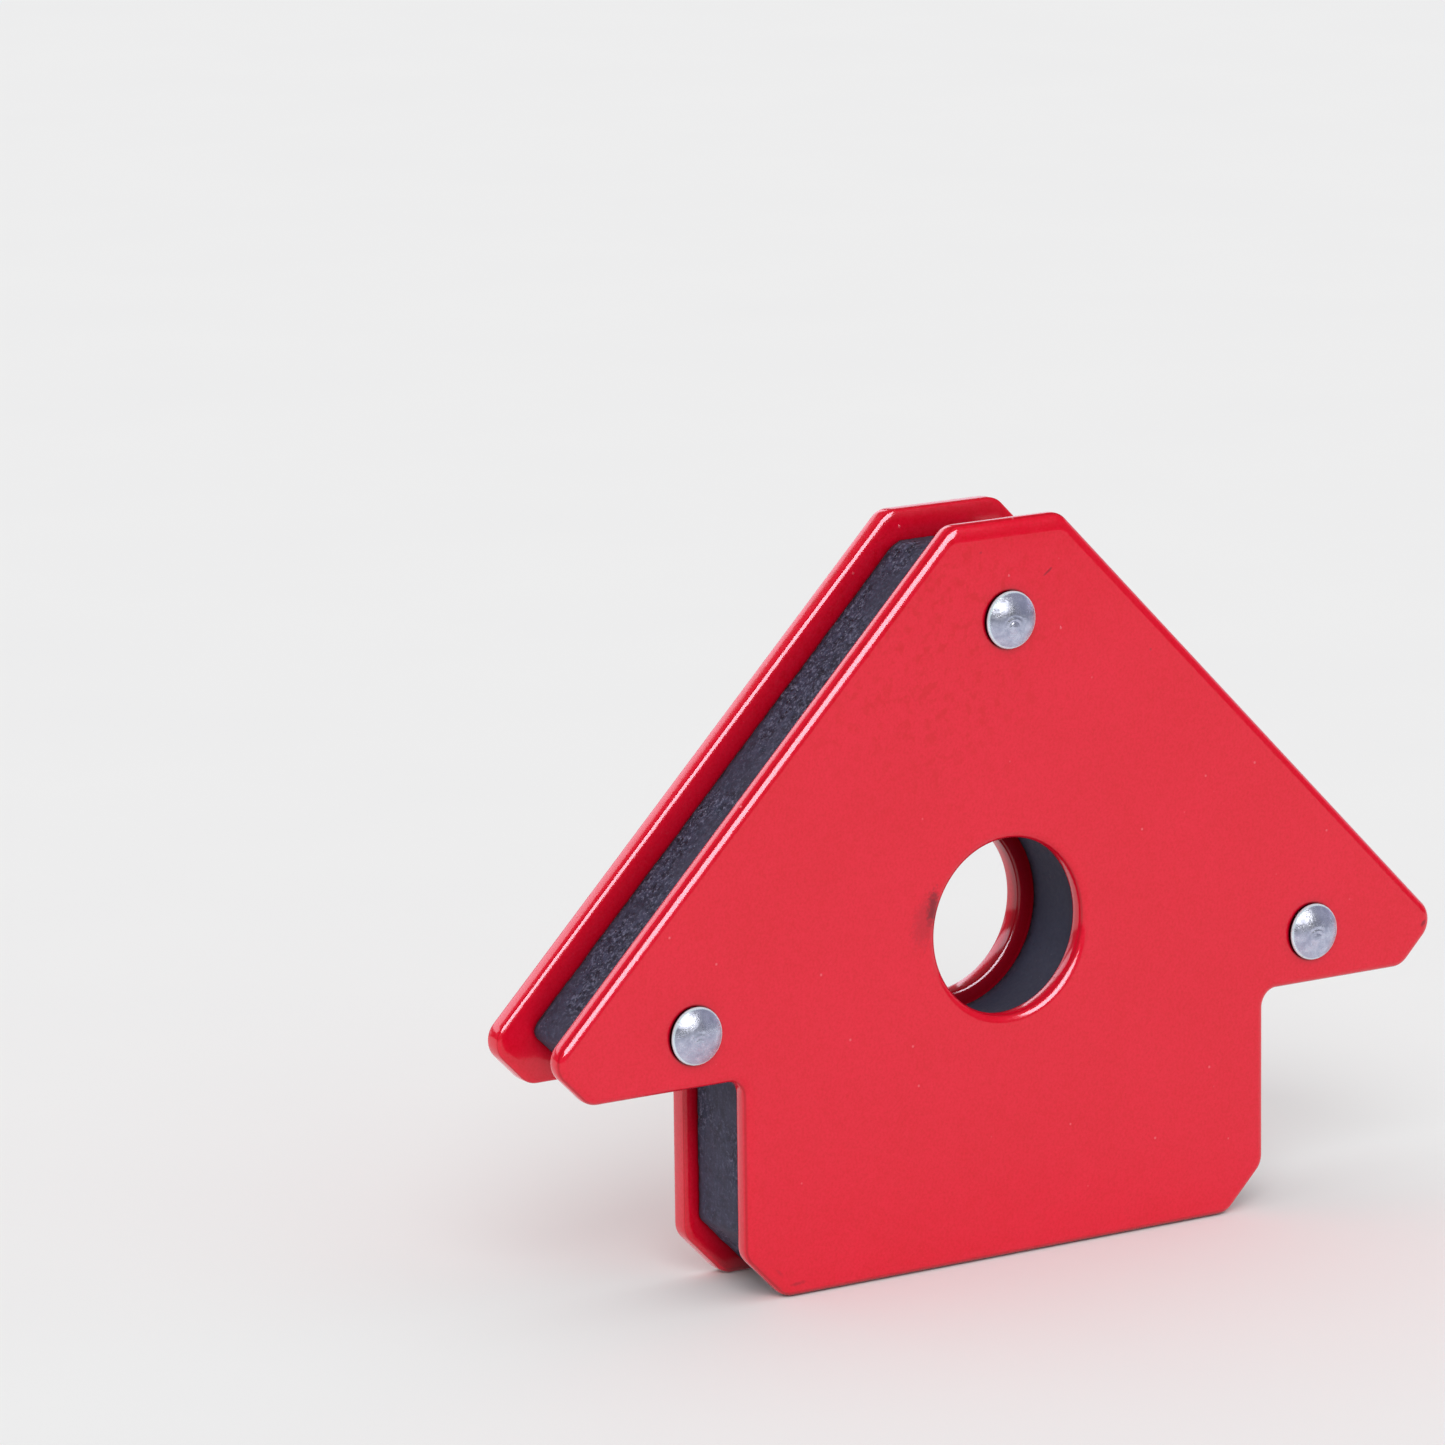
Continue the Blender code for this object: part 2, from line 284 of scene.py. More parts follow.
# Colours, as linear red, green and blue, and the share of each layer where it is full.
PAINT = {
    "deep": (0.715, 0.0026, 0.020),
    "bright": (0.765, 0.0042, 0.029),
    "pale_grain": (0.85, 0.014, 0.05),
    "dark_grain": (0.58, 0.0, 0.010),
    "blotch": (0.62, 0.0, 0.008),
    "nib": (0.88, 0.15, 0.19),
    "dust": (0.25, 0.02, 0.03),
    "scuff": (0.11, 0.004, 0.012),
    # The next three colours are painted shade: round the rivet heads' seats, in the hole and in the slot
    # between the plates.
    "head_shade": (0.012, 0.0, 0.001),
    "hole_shade": (0.05, 0.0, 0.001),
    "slot_shade": (0.10, 0.0, 0.004),
    # The shoulder and steep colours are painted shade on the rolled edges, partly thin paint.
    "shoulder": (0.42, 0.0, 0.006),
    "steep": (0.28, 0.0, 0.003),
    # Painted shadow along the foot, next to the floor.
    "foot_shade": (0.08, 0.0, 0.004),
}
PAINT_SHARE = {
    "grain": 0.35, "nib": 0.7, "dust": 0.5, "hole_shade": 0.55, "slot_shade": 0.6, "shoulder": 0.12,
    "steep": 0.42, "foot_shade": 0.55,
}
SLATE = {
    "smooth": ((0.028, 0.029, 0.052), (0.050, 0.052, 0.094)),
    "rough": ((0.012, 0.015, 0.030), (0.052, 0.058, 0.108)),
    "grain": (0.21, 0.21, 0.31),
    "bore": (0.036, 0.041, 0.078),
    "grit": (0.30, 0.32, 0.42),
    # The pit, border and crevice colours are painted shade: in the pits, beside the plates and in the
    # hollows.
    "pit": (0.006, 0.007, 0.010),
    "border": (0.004, 0.005, 0.008),
    "crevice": (0.005, 0.006, 0.009),
}
SLATE_SHARE = {"bore": 0.85, "grit": 0.9, "pit": 0.9, "border": 0.9, "crevice": 0.85}
FERRITE_TONES = ((0.030, 0.029, 0.031), (0.062, 0.060, 0.060))
RIVET_METAL = {
    "tones": ((0.66, 0.69, 0.84), (0.38, 0.41, 0.56)), "roughness": 0.27, "frost_height": 0.016,
}
SLEEVE_METAL = {
    "tones": ((0.68, 0.69, 0.72), (0.5, 0.51, 0.54)), "roughness": 0.4, "frost_height": 0.004,
}
# Painted highlight round the rims of the rivet heads, which are less metallic there, and painted shade at
# their seats.
RIM_HIGHLIGHT_COLOUR = (0.76, 0.93, 1.0)
RIM_HIGHLIGHT_SHARE = 0.95
RIM_HIGHLIGHT_DULLING = 0.75
SEAT_SHADE_COLOUR = (0.015, 0.012, 0.014)
FLOOR_TONES = ((0.86, 0.86, 0.865), (0.88, 0.88, 0.88))
FLOOR_UNSEEN = (0.06, 0.06, 0.065)
FLOOR_GLOW = (0.9, 0.88, 1.0)

# Arc resolution, in steps for a quarter turn, and steps round each kind of hole.
CORNER_STEPS = 14
POCKET_CORNER_STEPS = 3
HOLE_STEPS = 128
RIVET_STEPS = 64
HEAD_RINGS = 30

# Camera, aimed at a point in the middle plane of the holder.
CAMERA_AIM = (-33.207, 0.0, 64.036)
CAMERA_DISTANCE = 902.331
CAMERA_AZIMUTH = -33.458
CAMERA_ELEVATION = 11.596
CAMERA_ROLL = -0.706
CAMERA_LENS = 205.555
SENSOR_WIDTH = 36.0
CAMERA_REACH = 100.0

# Studio, with angles in degrees. Azimuth 0 is in front of the holder and grows towards +X. The panels'
# distance and the camera's reach are in metres. In reflections only, the floor is painted dark beyond
# TABLE_REACH in front, and glows behind as painted light.
FLOOR_RADIUS = 6000.0
FLOOR_STEPS = 96
FLOOR_DROP = 0.05
TABLE_REACH = (480.0, 530.0)
FLOOR_GLOW_BEHIND = 0.18
ROOM_LIGHT = 0.8
ROOM_IN_REFLECTIONS = 0.1
KEY_LIGHT = {"azimuth": -32, "elevation": 38, "strength": 0.9, "spread": 30}
PANEL_DISTANCE = 1.6
PANEL_TARGET = (0.0, 0.0, 40.0)
PANEL_TINT = (0.88, 0.86, 1.0)
RIVET_PIECES = ("domed_rivet",)
ROUGH_PIECES = ("domed_rivet", "cast_core")
PANELS = {
    "front_softbox": {
        "azimuth": 0, "elevation": 29.5, "span": (54, 31), "radiance": 16.0, "skips": ROUGH_PIECES,
    },
    "rivet_softbox": {
        "azimuth": -2, "elevation": 25, "span": (38, 24), "radiance": 3.6, "only": RIVET_PIECES,
        "tint": (1.0, 0.97, 0.88),
    },
    "rivet_room": {
        "azimuth": 70, "elevation": 28, "span": (70, 60), "radiance": 0.38, "only": RIVET_PIECES,
    },
    "bright_backdrop": {"azimuth": 187, "elevation": 24.5, "span": (60, 15), "radiance": 2.8},
    "low_backdrop": {"azimuth": 155, "elevation": 9, "span": (100, 14), "radiance": 1.2},
    "right_wall": {"azimuth": 97, "elevation": 10, "span": (30, 22), "radiance": 0.7},
}


def millimetres(vector):
    return Vector(vector) / MM


# --- outlines -------------------------------------------------------------------------------

def arrow_corners(inset, radius, inside_radius):
    """Sharp corners of the arrow, anticlockwise from the base's right end, each with its radius."""
    diagonal = math.sqrt(2)
    tip_height = WING_UNDERSIDE + TIP_CHAMFER
    base = inset["base"]
    chamfer = STEM_HALF_WIDTH - BASE_CHAMFER - diagonal * inset["chamfer"]
    stem = STEM_HALF_WIDTH - inset["stem"]
    underside = WING_UNDERSIDE + inset["underside"]
    tip = TIP_HALF_WIDTH - tip_height - diagonal * inset["tip"]
    slope = TIP_HALF_WIDTH + tip_height - diagonal * inset["slope"]
    top = PLATE_HEIGHT - inset["top"]
    right = [
        (chamfer + base, base, radius),
        (stem, stem - chamfer, radius),
        (stem, underside, inside_radius),
        (tip + underside, underside, radius),
        ((slope + tip) / 2, (slope - tip) / 2, radius),
        (slope - top, top, radius),
    ]
    left = [(-x, z, r) for x, z, r in reversed(right)]
    return right + left


def rounded_loop(corners, quarter_steps):
    """Closed outline with an arc at each corner."""
    points = []
    for index, (x, z, radius) in enumerate(corners):
        corner = Vector((x, z))
        before = corner - Vector(corners[index - 1][:2])
        after = Vector(corners[(index + 1) % len(corners)][:2]) - corner
        turn = math.atan2(before.x * after.y - before.y * after.x, before.dot(after))
        side = math.copysign(1.0, turn)
        normal_in = Vector((-before.y, before.x)).normalized()
        normal_out = Vector((-after.y, after.x)).normalized()
        centre = corner + (normal_in + normal_out) * side * radius / (1 + normal_in.dot(normal_out))
        first_angle = math.atan2(normal_in.y, normal_in.x)
        steps = max(1, round(quarter_steps * abs(turn) / (math.pi / 2)))
        for step in range(steps + 1):
            angle = first_angle + turn * step / steps
            points.append(centre - Vector((math.cos(angle), math.sin(angle))) * side * radius)
    return points


def circle_loop(centre, radius, steps):
    angles = [2 * math.pi * step / steps for step in range(steps)]
    return [Vector((centre[0] + radius * math.cos(a), centre[1] + radius * math.sin(a))) for a in angles]


def even_loop(points, spacing):
    """The same outline with evenly spaced points, and the outward normal at each."""
    ends = points[1:] + points[:1]
    lengths = [(end - start).length for start, end in zip(points, ends)]
    count = round(sum(lengths) / spacing)
    step = sum(lengths) / count
    spaced = []
    passed = 0.0
    for start, end, length in zip(points, ends, lengths):
        while len(spaced) < count and len(spaced) * step <= passed + length:
            spaced.append(start.lerp(end, (len(spaced) * step - passed) / length if length else 0.0))
        passed += length
    normals = []
    for index in range(count):
        along = spaced[(index + 1) % count] - spaced[index - 1]
        normals.append(Vector((along.y, -along.x)).normalized())
    return spaced, normals


# --- mesh building --------------------------------------------------------------------------

def add_loop(bm, points, y):
    return [bm.verts.new((p.x, y, p.y)) for p in points]


def bridge_loops(bm, loops):
    for near, far in zip(loops, loops[1:]):
        for index in range(len(near)):
            bm.faces.new((near[index - 1], near[index], far[index], far[index - 1]))


def loop_edges(bm, loop):
    return [bm.edges.get((loop[index - 1], loop[index])) for index in range(len(loop))]


def fill_caps(bm, walls):
    for end in (0, -1):
        rim = [edge for loops in walls for edge in loop_edges(bm, loops[end])]
        bmesh.ops.triangle_fill(bm, use_beauty=True, edges=rim)


def make_piece(bm, name, material, sharp_degrees=40):
    """Object from a mesh that was built in millimetres, smooth but for its sharp edges."""
    bmesh.ops.recalc_face_normals(bm, faces=bm.faces)
    mesh = bpy.data.meshes.new(name)
    bm.to_mesh(mesh)
    bm.free()
    mesh.transform(Matrix.Scale(MM, 4))
    mesh.shade_smooth()
    mesh.set_sharp_from_angle(angle=math.radians(sharp_degrees))
    mesh.materials.append(material)
    piece = bpy.data.objects.new(name, mesh)
    bpy.context.scene.collection.objects.link(piece)
    return piece


def claim(piece, node):
    """Put a piece in the place of a CAD node."""
    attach(piece, "root")
    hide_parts(node)


# --- pole plates ----------------------------------------------------------------------------

def stamped_edge(widest, roll_depth, back_width, thickness):
    """(share of the roll's width, further inset, depth) stations from the front face to the rear one."""
    stations = [(widest, FLAT_BORDER, 0.0)]
    for step in range(ROLL_STEPS + 1):
        angle = math.pi / 2 * step / ROLL_STEPS
        stations.append((widest * (1 - math.sin(angle)), 0.0, roll_depth * (1 - math.cos(angle))))
    for step in range(BACK_STEPS + 1):
        angle = math.pi / 2 * step / BACK_STEPS
        depth = thickness - BACK_DEPTH * (1 - math.sin(angle))
        stations.append((0.0, back_width * (1 - math.cos(angle)), depth))
    stations.append((0.0, back_width + FLAT_BORDER, thickness))
    return stations


def plate_outline(share, further):
    """Plate outline moved in by a share of each edge's roll width, and further by the same everywhere."""
    inset = {edge: ROLL_WIDTH[edge] * share + further for edge in PLATE_EDGES}
    moved = ROLL_WIDTH["base"] * share + further
    return rounded_loop(arrow_corners(inset, CORNER_RADIUS - moved, INSIDE_RADIUS + moved), CORNER_STEPS)


def hole_outline(share, further):
    radius = PLATE_HOLE_RADIUS + HOLE_ROLL_WIDTH * share + further
    return circle_loop((0.0, HOLE_HEIGHT), radius, HOLE_STEPS)


def painted_plate(name, node, material):
    """Stamped plate with its holes."""
    low, high = (millimetres(corner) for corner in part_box(node))
    bm = bmesh.new()
    walls = []
    edges = (
        (plate_outline, ROLL_SHARE[node], ROLL_DEPTH[node]),
        (hole_outline, HOLE_ROLL_SHARE[node], HOLE_ROLL_DEPTH[node]),
    )
    for outline, widest, roll_depth in edges:
        loops = []
        for share, further, depth in stamped_edge(widest, roll_depth, BACK_WIDTH[node], high.y - low.y):
            loops.append(add_loop(bm, outline(share, further), low.y + depth))
        bridge_loops(bm, loops)
        walls.append(loops)
    for side in RIVETS:
        circle = circle_loop(rivet_axis(side), RIVET_HOLE_RADIUS, RIVET_STEPS)
        loops = [add_loop(bm, circle, low.y), add_loop(bm, circle, high.y)]
        bridge_loops(bm, loops)
        walls.append(loops)
    fill_caps(bm, walls)
    claim(make_piece(bm, name, material), node)


# --- core -----------------------------------------------------------------------------------

def rare_hollow(place, kind):
    """Depth of a hollow that is there only where its noise is high."""
    height = noise.noise(place * kind["scale"] + Vector(kind["start"]))
    return max(0.0, height - kind["above"]) * kind["depth"]


def casting_relief(place, nick_share):
    """How far the cast surface stands in from its nominal place, in millimetres."""
    zone = 0.5 + 0.5 * noise.noise(place * ROUGH_ZONES)
    swell = SWELL["depth"] * noise.noise(place * SWELL["scale"])
    lumps = LUMPS["depth"] * noise.noise(place * LUMPS["scale"]) * (LUMPS["least"] + zone)
    return swell + lumps + rare_hollow(place, PITS) + rare_hollow(place, NICKS) * nick_share


def core_stations(thickness):
    """(inset, y, share of nicks) across the filler's outer wall, rounded at both ends."""
    half = thickness / 2
    rounded = []
    for step in range(CORE_EDGE_STEPS):
        angle = math.pi / 2 * step / CORE_EDGE_STEPS
        inset = CORE_EDGE_ROUNDING * (1 - math.sin(angle))
        y = -half + CORE_EDGE_ROUNDING * (1 - math.cos(angle))
        rounded.append((inset, y, 1.0 - step / CORE_EDGE_STEPS))
    stations = list(rounded)
    for band in range(CORE_BANDS + 1):
        y = (half - CORE_EDGE_ROUNDING) * (2 * band / CORE_BANDS - 1)
        stations.append((0.0, y, BORDER_NICKS if band in (0, CORE_BANDS) else 0.0))
    return stations + [(inset, -y, share) for inset, y, share in reversed(rounded)]


def rough_wall(bm, thickness):
    """Uneven outer wall of the casting."""
    corners = arrow_corners(CORE_INSET, CORE_CORNER_RADIUS, INSIDE_RADIUS)
    points, normals = even_loop(rounded_loop(corners, CORNER_STEPS), CORE_SPACING)
    loops = []
    for inset, y, nick_share in core_stations(thickness):
        loop = []
        for point, normal in zip(points, normals):
            relief = casting_relief(Vector((point.x, y, point.y)), nick_share)
            moved = point - normal * (inset + relief)
            loop.append(bm.verts.new((moved.x, y, moved.y)))
        loops.append(loop)
    bridge_loops(bm, loops)
    return loops


def bore_wall(bm, thickness):
    """Turned bore through the filler, with a slightly broken edge at each end."""
    half = thickness / 2
    stations = [(BORE_EDGE_BREAK, -half)]
    for band in range(BORE_BANDS + 1):
        stations.append((0.0, (half - BORE_EDGE_BREAK) * (2 * band / BORE_BANDS - 1)))
    stations.append((BORE_EDGE_BREAK, half))
    loops = []
    for widening, y in stations:
        circle = circle_loop((0.0, HOLE_HEIGHT), CORE_BORE_RADIUS + widening, HOLE_STEPS)
        loops.append(add_loop(bm, circle, y))
    bridge_loops(bm, loops)
    return loops


def pocket_outline(node):
    """Loop round a magnet or a spacer, with the clearance that the CAD leaves."""
    low, high = (millimetres(corner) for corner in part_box(node))
    middle = (low + high) / 2
    half = (high - low) / 2 + Vector((CLEARANCE, 0, CLEARANCE))
    if node.startswith("spacer"):
        return circle_loop((middle.x, middle.z), half.x, RIVET_STEPS)
    corners = []
    for x, z in ((half.x, -half.z), (half.x, half.z), (-half.x, half.z), (-half.x, -half.z)):
        corners.append((middle.x + x, middle.z + z, POCKET_CORNER_RADIUS))
    return rounded_loop(corners, POCKET_CORNER_STEPS)


def cast_core(material):
    """Cast filler with its bore, and the pockets that hold the magnets and the spacers."""
    low, high = (millimetres(corner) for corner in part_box("core_filler"))
    thickness = high.y - low.y
    bm = bmesh.new()
    walls = [rough_wall(bm, thickness), bore_wall(bm, thickness)]
    for node in sorted(frame["nodes"]):
        if node.startswith(("magnet", "spacer")):
            outline = pocket_outline(node)
            loops = [add_loop(bm, outline, low.y), add_loop(bm, outline, high.y)]
            bridge_loops(bm, loops)
            walls.append(loops)
    fill_caps(bm, walls)
    claim(make_piece(bm, "cast_core", material, sharp_degrees=50), "core_filler")


# --- rivets ---------------------------------------------------------------------------------

def plate_face():
    """Distance of the plates' outer faces from the middle plane."""
    return -millimetres(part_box("front_plate")[0]).y


def rivet_axis(side):
    low, high = (millimetres(corner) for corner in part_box("rivet_" + side))
    return ((low.x + high.x) / 2, (low.z + high.z) / 2)


def crown_height(reach, radius, rise):
    """Height of a spherical crown above its rim at a distance from the axis."""
    sphere = (radius ** 2 + rise ** 2) / (2 * rise)
    return math.sqrt(sphere ** 2 - reach ** 2) - sphere + rise


def set_mark(x, z):
    """Depth of the ring marks that the rivet set leaves near the top of the crown."""
    reach = math.hypot(x - SET_MARK_OFFSET[0], z - SET_MARK_OFFSET[1])
    depth = 0.0
    for radius, width, amount in SET_MARK_RINGS:
        depth += amount * math.exp(-((reach - radius) / width) ** 2)
    return depth


def rim_profile(radius, crown_slope):
    """(radius, height) pairs round the edge of a head, from the crown down to the seat."""
    points = []
    for step in range(RIM_STEPS + 1):
        angle = crown_slope + (math.pi / 2 - crown_slope) * step / RIM_STEPS
        inset = RIM_ROUNDING * (1 - math.sin(angle))
        points.append((radius - inset, HEAD_RIM - RIM_ROUNDING * (1 - math.cos(angle))))
    points.append((radius, UNDERCUT_DEPTH))
    points.append((radius - UNDERCUT_REACH, SEAT_GAP))
    return points


def domed_head():
    """(radius, height) pairs of the front head, from beside its middle to its seat."""
    rise = HEAD_CROWN - HEAD_RIM
    inner = HEAD_RADIUS - RIM_ROUNDING
    slope = math.asin(2 * rise * inner / (inner ** 2 + rise ** 2))
    profile = []
    for ring in range(1, HEAD_RINGS + 1):
        reach = (inner + RIM_ROUNDING * math.sin(slope)) * ring / HEAD_RINGS
        profile.append((reach, HEAD_RIM + crown_height(min(reach, HEAD_RADIUS), HEAD_RADIUS, rise)))
    return profile + rim_profile(HEAD_RADIUS, slope)[1:]


def upset_head():
    """(radius, height) pairs of the rear head, which is flat in the middle."""
    profile = []
    for ring in range(1, HEAD_RINGS + 1):
        reach = (UPSET_HEAD_RADIUS - RIM_ROUNDING) * ring / HEAD_RINGS
        fall = max(0.0, (reach - UPSET_FLAT_RADIUS) / (UPSET_HEAD_RADIUS - UPSET_FLAT_RADIUS)) ** 2
        profile.append((reach, UPSET_CROWN - (UPSET_CROWN - HEAD_RIM) * fall))
    return profile + rim_profile(UPSET_HEAD_RADIUS, math.radians(UPSET_RIM_SLOPE))[1:]


def turned_rivet(name, side, material):
    """Domed head in front, shank, and an upset head behind, turned about the rivet's axis."""
    face = plate_face()
    stations = [(reach, -face - height) for reach, height in domed_head()]
    stations += [(SHANK_RADIUS, -face - SEAT_GAP), (SHANK_RADIUS, face + SEAT_GAP)]
    stations += [(reach, face + height) for reach, height in reversed(upset_head())]
    bm = bmesh.new()
    loops = [add_loop(bm, circle_loop((0, 0), reach, RIVET_STEPS), y) for reach, y in stations]
    bridge_loops(bm, loops)
    for loop, y in ((loops[0], -face - HEAD_CROWN), (loops[-1], face + UPSET_CROWN)):
        pole = bm.verts.new((0, y, 0))
        for index in range(len(loop)):
            bm.faces.new((loop[index - 1], loop[index], pole))
    for vertex in bm.verts:
        if vertex.co.y < -face - HEAD_RIM:
            vertex.co.y += set_mark(vertex.co.x, vertex.co.z) * SET_MARK_STRENGTH[side]
    x, z = rivet_axis(side)
    bmesh.ops.translate(bm, verts=bm.verts, vec=(x, 0, z))
    claim(make_piece(bm, name, material, sharp_degrees=50), "rivet_" + side)


# --- materials ------------------------------------------------------------------------------

def add_node(tree, kind, inputs=None, **settings):
    """New shader node; an input given as a socket is linked, any other value is set."""
    made = tree.nodes.new(kind)
    for name, value in settings.items():
        setattr(made, name, value)
    for socket, value in (inputs or {}).items():
        if isinstance(value, bpy.types.NodeSocket):
            tree.links.new(value, made.inputs[socket])
        else:
            made.inputs[socket].default_value = value
    return made


def new_material(name):
    """Material with its Principled shader, and object coordinates in millimetres."""
    material = bpy.data.materials.new(name)
    material.use_nodes = True
    tree = material.node_tree
    surface = tree.nodes["Principled BSDF"]
    metres = add_node(tree, "ShaderNodeTexCoord").outputs["Object"]
    scaled = add_node(tree, "ShaderNodeMapping", {"Vector": metres, "Scale": (1 / MM,) * 3})
    return material, tree, surface, scaled.outputs["Vector"]


def connect(tree, surface, inputs):
    """Link sockets to the shader's inputs, and set the inputs given as plain values."""
    for socket, value in inputs.items():
        if isinstance(value, bpy.types.NodeSocket):
            tree.links.new(value, surface.inputs[socket])
        else:
            surface.inputs[socket].default_value = value


def noise_value(tree, place, scale, detail=2.0, roughness=0.5):
    inputs = {"Vector": place, "Scale": scale, "Detail": detail, "Roughness": roughness}
    return add_node(tree, "ShaderNodeTexNoise", inputs).outputs["Fac"]


def ramp(tree, value, low, high, to_low=0.0, to_high=1.0):
    """Value remapped from low..high to to_low..to_high, and clamped there."""
    inputs = {"Value": value, "From Min": low, "From Max": high, "To Min": to_low, "To Max": to_high}
    return add_node(tree, "ShaderNodeMapRange", inputs).outputs["Result"]


def mix_colour(tree, share, first, second):
    mix = add_node(tree, "ShaderNodeMix", {"Factor": share}, data_type="RGBA")
    for socket, value in ((mix.inputs[6], first), (mix.inputs[7], second)):
        if isinstance(value, bpy.types.NodeSocket):
            tree.links.new(value, socket)
        else:
            socket.default_value = (*value, 1.0)
    return mix.outputs[2]


def layered(tree, body, layers):
    """Colour with each (share, colour) laid over it in turn."""
    for share, colour in layers:
        body = mix_colour(tree, share, body, colour)
    return body


def combine(tree, operation, first, second):
    return add_node(tree, "ShaderNodeMath", {0: first, 1: second}, operation=operation).outputs["Value"]


def product(tree, first, second):
    return combine(tree, "MULTIPLY", first, second)


def size_of(tree, value):
    return add_node(tree, "ShaderNodeMath", {0: value}, operation="ABSOLUTE").outputs["Value"]


def part_of(tree, vector, axis):
    return add_node(tree, "ShaderNodeSeparateXYZ", {"Vector": vector}).outputs[axis]


def length_of(tree, vector):
    return add_node(tree, "ShaderNodeVectorMath", {0: vector}, operation="LENGTH").outputs["Value"]


def bump(tree, height, distance, strength=1.0, below=None):
    """Surface relief of the given height in millimetres, on top of another bump if one is given."""
    inputs = {"Height": height, "Distance": distance * MM, "Strength": strength}
    if below is not None:
        inputs["Normal"] = below
    return add_node(tree, "ShaderNodeBump", inputs).outputs["Normal"]


def specks(tree, place, scale, size, share):
    """Round specks scattered one to a cell, in only a share of the cells."""
    cells = add_node(tree, "ShaderNodeTexVoronoi", {"Vector": place, "Scale": scale})
    dots = ramp(tree, cells.outputs["Distance"], size, size * SPECK_CORE)
    chosen = add_node(tree, "ShaderNodeSeparateColor", {"Color": cells.outputs["Color"]}).outputs["Red"]
    return product(tree, dots, combine(tree, "LESS_THAN", chosen, share))


def around(tree, place, axis):
    """Distance from a line along Y through the given (x, z), in millimetres."""
    middle = {0: place, 1: (axis[0], 0.0, axis[1])}
    offset = add_node(tree, "ShaderNodeVectorMath", middle, operation="SUBTRACT").outputs[0]
    across = {0: offset, 1: (1.0, 0.0, 1.0)}
    return length_of(tree, add_node(tree, "ShaderNodeVectorMath", across, operation="MULTIPLY").outputs[0])


def crevices(tree, reach, strength):
    """Painted shade: full strength deep in a corner or slot, falling to 0 out in the open."""
    distance = {"Distance": reach * MM}
    shelter = add_node(tree, "ShaderNodeAmbientOcclusion", distance, samples=CREVICE_RAYS)
    return ramp(tree, shelter.outputs["AO"], *CREVICE, 0.0, strength)


def edge_band(tree, normal, band):
    """1 on the band of a rolled edge between the given slopes, from the surface's own direction."""
    level = size_of(tree, part_of(tree, normal, "Y"))
    starts, full, fades, ends = (math.cos(math.radians(angle)) for angle in band)
    return product(tree, ramp(tree, level, starts, full), ramp(tree, level, ends, fades))


def scuff(tree, place, ragged, centre, half_size, angle):
    """Ragged mark on the front face: an ellipse with a soft, uneven edge."""
    turned = add_node(tree, "ShaderNodeMapping", {
        "Vector": place,
        "Location": (centre[0], 0.0, centre[1]),
        "Rotation": (0.0, math.radians(-angle), 0.0),
        "Scale": (half_size[0], ANY_DEPTH, half_size[1]),
    }, vector_type="TEXTURE")
    reach = length_of(tree, turned.outputs["Vector"])
    return ramp(tree, combine(tree, "ADD", reach, ragged), *SCUFF_EDGE)


def paint_tone(tree, place):
    """Red of the paint: clouds and mottling, pale and dark grain, and faint blotches near the point."""
    clouds = noise_value(tree, place, **PAINT_NOISE["clouds"])
    mottle = noise_value(tree, place, **PAINT_NOISE["mottle"])
    grain = noise_value(tree, place, **PAINT_NOISE["grain"])
    clouded = ramp(tree, clouds, *NOISE_SPAN, 0.0, CLOUDS_AND_MOTTLE[0])
    mottled = ramp(tree, mottle, *NOISE_SPAN, 0.0, CLOUDS_AND_MOTTLE[1])
    tone = combine(tree, "ADD", clouded, mottled)
    blotches = ramp(tree, noise_value(tree, place, **PAINT_NOISE["blotches"]), *BLOTCH_SPAN)
    near_top = ramp(tree, around(tree, place, BLOTCH_CENTRE), *BLOTCH_REACH, *BLOTCH_STRENGTH)
    return layered(tree, mix_colour(tree, tone, PAINT["deep"], PAINT["bright"]), (
        (ramp(tree, grain, *PALE_GRAIN_SPAN, 0.0, PAINT_SHARE["grain"]), PAINT["pale_grain"]),
        (ramp(tree, grain, *DARK_GRAIN_SPAN, 0.0, PAINT_SHARE["grain"]), PAINT["dark_grain"]),
        (product(tree, blotches, near_top), PAINT["blotch"]),
    ))


def scuffed(tree, place, body):
    """Paint with its dark marks, on the front face only."""
    front = combine(tree, "LESS_THAN", part_of(tree, place, "Y"), -PLATE_SPACING / 2)
    ragged = ramp(tree, noise_value(tree, place, **PAINT_NOISE["ragged"]), *NOISE_SPAN, *SCUFF_WANDER)
    for centre, half_size, angle, strength in SCUFFS:
        mark = scuff(tree, place, ragged, centre, half_size, angle)
        share = product(tree, mark, product(tree, front, strength))
        body = mix_colour(tree, share, body, PAINT["scuff"])
    return body


def shaded_in_hollows(tree, place, body):
    """Paint with painted shade round the heads' seats, in the hole and in the slot between the plates."""
    depth = part_of(tree, place, "Y")
    for side in RIVETS:
        # Painted shade round each rivet head's seat.
        ring = ramp(tree, around(tree, place, rivet_axis(side)), *HEAD_SHADE)
        body = mix_colour(tree, ring, body, PAINT["head_shade"])
    in_hole = ramp(tree, around(tree, place, (0.0, HOLE_HEIGHT)), *HOLE_SIDE)
    shade = product(tree, in_hole, ramp(tree, depth, *HOLE_SHADE, 0.0, PAINT_SHARE["hole_shade"]))
    # Painted shade in the hole and in the slot between the plates.
    slot = combine(tree, "LESS_THAN", size_of(tree, depth), SLOT_HALF_WIDTH)
    sheltered = crevices(tree, SLOT_REACH, PAINT_SHARE["slot_shade"])
    return layered(tree, body, (
        (product(tree, shade, ramp(tree, depth, *HOLE_SHADE_FADE)), PAINT["hole_shade"]),
        (product(tree, sheltered, slot), PAINT["slot_shade"]),
    ))


